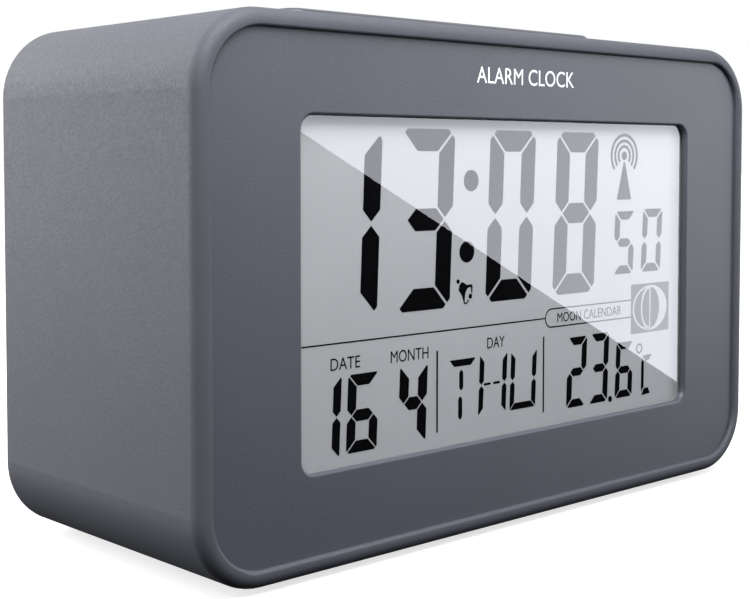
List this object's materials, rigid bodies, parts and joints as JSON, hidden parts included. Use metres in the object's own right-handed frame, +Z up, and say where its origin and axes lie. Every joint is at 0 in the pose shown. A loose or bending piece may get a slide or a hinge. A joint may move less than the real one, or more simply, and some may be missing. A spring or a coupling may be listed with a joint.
{
  "type": "digital alarm clock",
  "caption": "Free-standing digital alarm clock: rounded slab case, recessed bezel around a liquid crystal display, wide top snooze key, rear control keys and battery bay.",
  "frame": {"origin": "bottom centre of the bounding box, on the plane that the feet stand on", "axes": "+X to the right as seen from the front, -Y out of the display, +Z up"},
  "size_m": [0.13, 0.052, 0.0834],
  "materials": {
    "case_slate": "fine spark-eroded grain, slate grey",
    "bezel_slate": "fine spark-eroded grain, slate grey",
    "cover_slate": "fine spark-eroded grain, slate grey",
    "key_slate": "satin, slate grey",
    "foot_rubber": "matt black rubber",
    "lens_clear": "clear polished acrylic",
    "lcd_glass": "grey liquid crystal glass",
    "lcd_film": "grey polarising film",
    "guide_white": "milky white moulding",
    "lamp": "surface-mounted lamp",
    "board_green": "green solder mask",
    "steel_screw": "black-zinc steel",
    "nickel": "nickel plate",
    "brass_disc": "brass with a ceramic layer",
    "chip_black": "black moulding resin",
    "silicone": "translucent silicone",
    "ferrite": "dark ceramic ferrite",
    "copper": "enamelled copper winding",
    "cell_wrap": "printed film sleeve, plain",
    "wire_cover": "insulated wire"
  },
  "bodies": {
    "case": {"alarm_switch": "chip_black", "antenna_bracket": "guide_white", "antenna_coil": "copper", "antenna_leads": "wire_cover", "back_cover": "cover_slate", "backlight_lamps": "lamp", "backlight_strip": "board_green", "battery_leads": "wire_cover", "battery_lower": "cell_wrap", "battery_upper": "cell_wrap", "board_capacitors": "chip_black", "bridge_contact": "nickel", "buzzer_disc": "brass_disc", "buzzer_leads": "wire_cover", "buzzer_ring": "guide_white", "case_screws": "steel_screw", "case_sleeve": "case_slate", "clock_crystal": "nickel", "controller_chip": "chip_black", "display_lens": "lens_clear", "ferrite_rod": "ferrite", "foot_front_left": "foot_rubber", "foot_front_right": "foot_rubber", "foot_rear_left": "foot_rubber", "foot_rear_right": "foot_rubber", "front_bezel": "bezel_slate", "key_board": "board_green", "key_board_screws": "steel_screw", "key_cable": "wire_cover", "key_mat": "silicone", "lcd_front_film": "lcd_film", "lcd_front_glass": "lcd_glass", "lcd_holder": "guide_white", "lcd_rear_film": "lcd_film", "lcd_rear_glass": "lcd_glass", "light_guide": "guide_white", "main_board": "board_green", "main_board_screws": "steel_screw", "negative_contact": "nickel", "positive_contact": "nickel", "receiver_board": "board_green", "snooze_board": "board_green", "snooze_board_screws": "steel_screw", "snooze_leads": "wire_cover", "snooze_spring_left": "nickel", "snooze_spring_right": "nickel", "snooze_switch": "chip_black", "temperature_sensor": "chip_black", "zebra_strip_lower": "silicone", "zebra_strip_upper": "silicone"},
    "snooze_key": {"snooze_key": "key_slate", "snooze_plunger": "chip_black"},
    "battery_door": {"battery_door": "cover_slate"},
    "alarm_switch_knob": {"alarm_switch_knob": "chip_black"},
    "mode_key": {"mode_key": "key_slate"},
    "up_key": {"up_key": "key_slate"},
    "down_key": {"down_key": "key_slate"},
    "alarm_key": {"alarm_key": "key_slate"},
    "wave_key": {"wave_key": "key_slate"}
  },
  "joints": [
    {"name": "snooze_press", "type": "slide", "parent": "case", "child": "snooze_key", "axis": [0, 0, -1], "range_m": [0, 0.001], "stiffness_N_per_m": 600, "springref_m": -0.001, "deforming": ["snooze_spring_left", "snooze_spring_right"]},
    {"name": "mode_press", "type": "slide", "parent": "case", "child": "mode_key", "axis": [0, -1, 0], "range_m": [0, 0.0005], "stiffness_N_per_m": 1500, "springref_m": -0.0003, "deforming": ["key_mat"]},
    {"name": "up_press", "type": "slide", "parent": "case", "child": "up_key", "axis": [0, -1, 0], "range_m": [0, 0.0005], "stiffness_N_per_m": 1500, "springref_m": -0.0003, "deforming": ["key_mat"]},
    {"name": "down_press", "type": "slide", "parent": "case", "child": "down_key", "axis": [0, -1, 0], "range_m": [0, 0.0005], "stiffness_N_per_m": 1500, "springref_m": -0.0003, "deforming": ["key_mat"]},
    {"name": "alarm_press", "type": "slide", "parent": "case", "child": "alarm_key", "axis": [0, -1, 0], "range_m": [0, 0.0005], "stiffness_N_per_m": 1500, "springref_m": -0.0003, "deforming": ["key_mat"]},
    {"name": "wave_press", "type": "slide", "parent": "case", "child": "wave_key", "axis": [0, -1, 0], "range_m": [0, 0.0005], "stiffness_N_per_m": 1500, "springref_m": -0.0003, "deforming": ["key_mat"]},
    {"name": "alarm_switch_slide", "type": "slide", "parent": "case", "child": "alarm_switch_knob", "axis": [1, 0, 0], "range_m": [0, 0.003]},
    {"name": "battery_door_pull", "type": "slide", "parent": "case", "child": "battery_door", "axis": [0, 1, 0], "range_m": [0, 0.025]}
  ]
}
